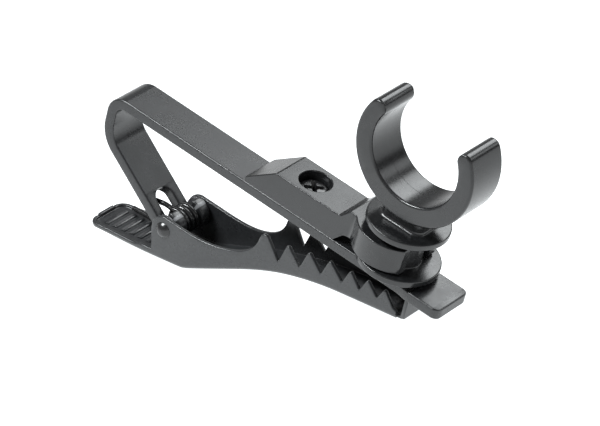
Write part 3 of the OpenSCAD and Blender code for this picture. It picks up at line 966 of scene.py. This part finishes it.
def ring_sections():
    """The ring from one rounded tip round below to the other."""
    reach, middle = (outer_at(TIP_ANGLE) - BORE_R) / 2, (outer_at(TIP_ANGLE) + BORE_R) / 2
    tip = []
    for turn in (84, 72, 60, 48, 36, 24, 12):
        tip.append((TIP_ANGLE + math.degrees(reach * sind(turn) / middle), cosd(turn)))
    angles = tip + [(TIP_ANGLE - (2 * TIP_ANGLE + 180) * i / 84, 1.0) for i in range(85)]
    angles += [(-180 - angle, scale) for angle, scale in reversed(tip)]
    return [ring_section(angle, scale) for angle, scale in angles]


def spool_profile():
    """Lower flange, neck and upper flange, as radius and height with a corner radius."""
    lower = [(0.02, 0.48), (FLANGE_R, 0.48, 0.14), (FLANGE_R, 1.24, 0.14), (NECK_R, 1.24, 0.1)]
    upper = [(NECK_R, 5.18, 0.1), (FLANGE_R, 5.18, 0.14), (FLANGE_R, FLANGE_TOP, 0.14), (0.02, FLANGE_TOP)]
    return rounded(lower + upper, 22.0)


def foot_rings():
    """The square foot, set a little back from the ring's faces, flares out onto the flange."""
    flare = [FLANGE_TOP + FLARE_H * (1 - cosd(a)) for a in range(0, 91, 6)]
    rings = []
    for z in [FLANGE_TOP - 0.1] + flare + [7.4, 8.0, FOOT_END]:
        up = min(1.0, max(0.0, (z - FLANGE_TOP) / FLARE_H))
        out = FLARE * (1 - math.sqrt(max(0.0, 1 - (1 - up) ** 2)))
        ring = []
        for cx, cy, first in ((1, 1, 0), (-1, 1, 90), (-1, -1, 180), (1, -1, 270)):
            corner = (cx * (FOOT - FOOT_R + out), cy * (FOOT_Y - FOOT_R + out))
            ring += [(x, y, z) for x, y in arc(corner, FOOT_R, first, first + 90, 7.5)]
        rings.append(ring)
    return rings


def holder_shell():
    holder = Shell()
    holder.loft(ring_sections())
    holder.loft(turned_z(spool_profile(), 0, 0, 128))
    holder.loft(foot_rings())
    return holder


holder_mesh = mesh_of("holder_ring", holder_shell(), CLIP)
add_piece("holder_ring", holder_mesh, "holder", PLASTIC, "mic_holder", sharp=40.0)

# ---- Floor ----

COOL = (0.95, 0.985, 1.0)
FLOOR_HALF = 3.0
corners = [(-FLOOR_HALF, -FLOOR_HALF, 0), (FLOOR_HALF, -FLOOR_HALF, 0), (FLOOR_HALF, FLOOR_HALF, 0)]
corners += [(-FLOOR_HALF, FLOOR_HALF, 0)]
floor_mesh = bpy.data.meshes.new("floor")
floor_mesh.from_pydata(corners, [], [(0, 1, 2, 3)])
floor = add_object("floor", floor_mesh)

# the floor glows a little brighter close to the clip, which its side faces reflect
pale = bpy.data.materials.new("pale_floor")
pale.use_nodes = True
tree = pale.node_tree
spot = add_node(tree, "ShaderNodeNewGeometry", {}).outputs["Position"]
away = add_node(tree, "ShaderNodeVectorMath", {0: spot}, operation="LENGTH").outputs["Value"]
surface = tree.nodes["Principled BSDF"]
surface.inputs["Base Color"].default_value = (0.5, 0.5, 0.5, 1)
surface.inputs["Emission Color"].default_value = (*COOL, 1)
surface.inputs["Roughness"].default_value = 0.9
surface.inputs["Specular IOR Level"].default_value = 0.0
tree.links.new(ramp(tree, away, 0.02, 0.055, 1.15, 0.6, "SMOOTHSTEP"), surface.inputs["Emission Strength"])
floor_mesh.materials.append(pale)

# ---- Background: brightest at the horizon, with a dim flag low behind the clip's right end ----

FLAG_DIRECTION = (0.66, 0.75, 0.0)
world = bpy.data.worlds.new("studio")
world.use_nodes = True
tree = world.node_tree
toward = add_node(tree, "ShaderNodeTexCoord", {}).outputs["Generated"]
height = add_node(tree, "ShaderNodeSeparateXYZ", {0: toward}).outputs["Z"]
facing = add_node(tree, "ShaderNodeVectorMath", {0: toward, 1: FLAG_DIRECTION}, operation="DOT_PRODUCT")
fade = ramp(tree, height, 0.0, 0.4, 0.9, 0.3)
flag = ramp(tree, facing.outputs["Value"], 0.75, 0.97, 1.0, 0.15, "SMOOTHSTEP")
background = tree.nodes["Background"]
background.inputs["Color"].default_value = (1, 1, 1, 1)
tree.links.new(combine(tree, "MULTIPLY", fade, flag), background.inputs["Strength"])
bpy.context.scene.world = world
bpy.context.scene.view_settings.view_transform = "Standard"

# ---- Lights, in metres and watts ----

LIT_POINT = Vector((0, 0, 0.01))
SOFTBOXES = {
    "key": ((-0.14, -0.23, 0.41), (0.26, 0.08), 3.6),
    "back": ((0.07, 0.4, 0.42), (0.34, 0.2), 1.6),
    "side": ((0.32, 0.35, 0.2), (0.2, 0.12), 0.2),
    "low": ((-0.4, 0.38, 0.1), (0.4, 0.18), 0.09),
}
for name, (place, size, power) in SOFTBOXES.items():
    light = bpy.data.lights.new(name, "AREA")
    light.shape = "RECTANGLE"
    light.size, light.size_y = size
    light.energy = power
    light.color = COOL
    softbox = add_object(name, light)
    softbox.location = place
    softbox.rotation_mode = "QUATERNION"
    softbox.rotation_quaternion = (LIT_POINT - Vector(place)).to_track_quat("-Z", "Y")

# ---- Camera: the direction to it, its distance from the point it looks at, and its roll ----

LOOK_AT = Vector((-0.001109, 0.002816, 0.006417))
AZIMUTH, ELEVATION, ROLL = -49.7081, 24.058, -5.3088
DISTANCE = 0.44114
LENS, SENSOR = 259.6, 36.0
level = cosd(ELEVATION)
to_camera = Vector((level * cosd(AZIMUTH), level * sind(AZIMUTH), sind(ELEVATION)))
camera = bpy.data.cameras.new("camera")
camera.lens = LENS
camera.sensor_width = SENSOR
camera.clip_start, camera.clip_end = 0.01, 10
viewer = add_object("camera", camera)
viewer.location = LOOK_AT + to_camera * DISTANCE
viewer.rotation_mode = "QUATERNION"
viewer.rotation_quaternion = to_camera.to_track_quat("Z", "Y") @ Quaternion((0, 0, 1), math.radians(ROLL))
bpy.context.scene.camera = viewer
